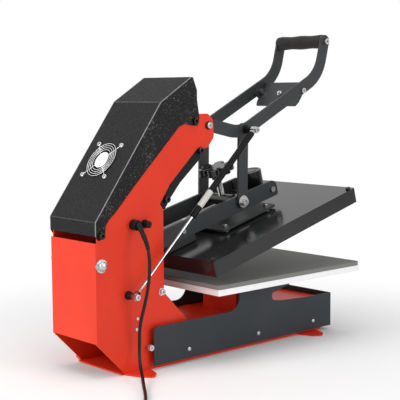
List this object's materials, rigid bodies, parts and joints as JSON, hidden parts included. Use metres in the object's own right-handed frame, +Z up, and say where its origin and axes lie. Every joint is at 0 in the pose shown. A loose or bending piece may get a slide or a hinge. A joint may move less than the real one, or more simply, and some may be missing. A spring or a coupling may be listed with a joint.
{
  "type": "heat press",
  "caption": "Slide-out heat press: red column with black cover, toggle handle, floating hinged upper platen, gas spring and a drawer that slides the padded lower platen forward.",
  "frame": {"origin": "centre of the machine's bounding box at floor level, measured without the cord, coil and plug", "axes": "+Z up; -Y towards the operator, where the handle and drawer come out; +X towards the side without the gas spring"},
  "size_m": [0.5582, 0.9925, 0.768],
  "materials": {
    "red_paint": "satin",
    "black_texture": "fine texture powder coat",
    "black_paint": "semi-gloss",
    "machined_aluminium": "machined",
    "stainless": "polished",
    "bright_rod": "mirror",
    "grey_silicone": "matte",
    "black_plastic": "moulded",
    "dark_lens": "gloss",
    "foam": "fine foam",
    "insulation_felt": "felt",
    "cord_rubber": "smooth"
  },
  "bodies": {
    "base": {"side_plate_near": "red_paint", "side_plate_far": "red_paint", "rear_panel": "red_paint", "base_pan": "red_paint", "foot_plates": "red_paint", "rear_cover": "black_texture", "front_cover": "black_texture", "control_panel": "black_paint", "display_lens": "dark_lens", "controller_housing": "black_plastic", "fan_frame": "black_plastic", "fan_guard": "bright_rod", "cable_gland": "black_plastic", "fuse_holder": "black_plastic", "arm_pivot_shaft": "stainless", "head_pivot_shaft": "stainless", "housing_screws": "stainless", "stop_pins": "stainless", "spring_stud": "stainless", "slide_outer_rails": "stainless", "power_cord": "cord_rubber", "cord_coil": "cord_rubber", "cord_tie": "black_plastic", "plug": "black_plastic"},
    "fan": {"fan_rotor": "black_plastic"},
    "up_button": {"button_up": "black_plastic"},
    "set_button": {"button_set": "black_plastic"},
    "down_button": {"button_down": "black_plastic"},
    "arms": {"arm_near": "black_paint", "arm_far": "black_paint", "magnet_plate": "black_paint", "electromagnet": "stainless", "arm_bolts": "stainless"},
    "platen": {"platen_cover": "black_paint", "heat_platen": "machined_aluminium", "platen_insulation": "insulation_felt", "terminal_box": "black_paint", "carrier_plate": "black_paint", "platen_studs": "stainless", "platen_screws": "stainless", "platen_shaft": "stainless"},
    "knob": {"pressure_knob": "black_plastic", "spindle": "stainless"},
    "handle": {"handle_near": "black_paint", "handle_far": "black_paint", "grip_rod": "stainless", "grip": "foam", "armature_bracket": "black_paint", "armature": "stainless", "handle_bolts": "stainless"},
    "toggle_links": {"links": "black_paint"},
    "gas_spring_rod": {"spring_rod": "bright_rod"},
    "gas_spring_cylinder": {"spring_cylinder": "black_paint"},
    "slide_middles": {"slide_middle_members": "stainless"},
    "carriage": {"carriage_frame": "red_paint", "skirt": "black_paint", "skirt_screws": "black_plastic", "lower_platen": "machined_aluminium", "silicone_pad": "grey_silicone", "slide_inner_members": "stainless"}
  },
  "joints": [
    {"name": "fan_spin", "type": "hinge", "parent": "base", "child": "fan", "pos_m": [0.0066, 0.28866, 0.47204], "axis": [0, 0.8076, 0.5898], "continuous": true},
    {"name": "up_press", "type": "slide", "parent": "base", "child": "up_button", "axis": [0, 0.9838, -0.1791], "range_m": [0, 0.0015], "stiffness_N_per_m": 400, "springref_m": -0.0005},
    {"name": "set_press", "type": "slide", "parent": "base", "child": "set_button", "axis": [0, 0.9838, -0.1791], "range_m": [0, 0.0015], "stiffness_N_per_m": 400, "springref_m": -0.0005},
    {"name": "down_press", "type": "slide", "parent": "base", "child": "down_button", "axis": [0, 0.9838, -0.1791], "range_m": [0, 0.0015], "stiffness_N_per_m": 400, "springref_m": -0.0005},
    {"name": "arm_lift", "type": "hinge", "parent": "base", "child": "arms", "pos_m": [0, 0.36375, 0.252], "axis": [1, 0, 0], "range_deg": [0, 10.3], "stiffness_Nm_per_rad": 200, "springref_deg": -51.57},
    {"name": "platen_float", "type": "hinge", "parent": "arms", "child": "platen", "pos_m": [0, -0.07325, 0.358], "axis": [1, 0, 0], "range_deg": [0, 5.13]},
    {"name": "knob_turn", "type": "hinge", "parent": "platen", "child": "knob", "pos_m": [0, -0.07325, 0.358], "axis": [0, 0.2661, 0.964], "continuous": true},
    {"name": "handle_swing", "type": "hinge", "parent": "base", "child": "handle", "pos_m": [0, 0.04975, 0.546], "axis": [1, 0, 0], "range_deg": [0, 50]},
    {"name": "link_swing", "type": "hinge", "parent": "arms", "child": "toggle_links", "pos_m": [0, -0.07325, 0.358], "axis": [1, 0, 0], "range_deg": [-32.69, 0]},
    {"name": "gas_spring_turn", "type": "hinge", "parent": "base", "child": "gas_spring_rod", "pos_m": [-0.109, 0.29175, 0.1785], "axis": [1, 0, 0], "range_deg": [0, 3.93]},
    {"name": "gas_spring_stroke", "type": "slide", "parent": "gas_spring_rod", "child": "gas_spring_cylinder", "axis": [0, 0.7202, -0.6938], "range_m": [0, 0.10237]},
    {"name": "drawer_slide", "type": "slide", "parent": "base", "child": "carriage", "axis": [0, -1, 0], "range_m": [0, 0.3]},
    {"name": "slide_extension", "type": "slide", "parent": "base", "child": "slide_middles", "axis": [0, -1, 0], "range_m": [0, 0.15]}
  ],
  "couplings": [
    {"joint": "platen_float", "follows": "arm_lift", "ratio": 0.49832},
    {"joint": "handle_swing", "follows": "arm_lift", "ratio": 4.8552},
    {"joint": "link_swing", "follows": "arm_lift", "ratio": -3.1739},
    {"joint": "gas_spring_turn", "follows": "arm_lift", "ratio": 0.38202},
    {"joint": "gas_spring_stroke", "follows": "arm_lift", "m_per_rad": 0.56953},
    {"joint": "slide_extension", "follows": "drawer_slide", "ratio": 0.5}
  ]
}
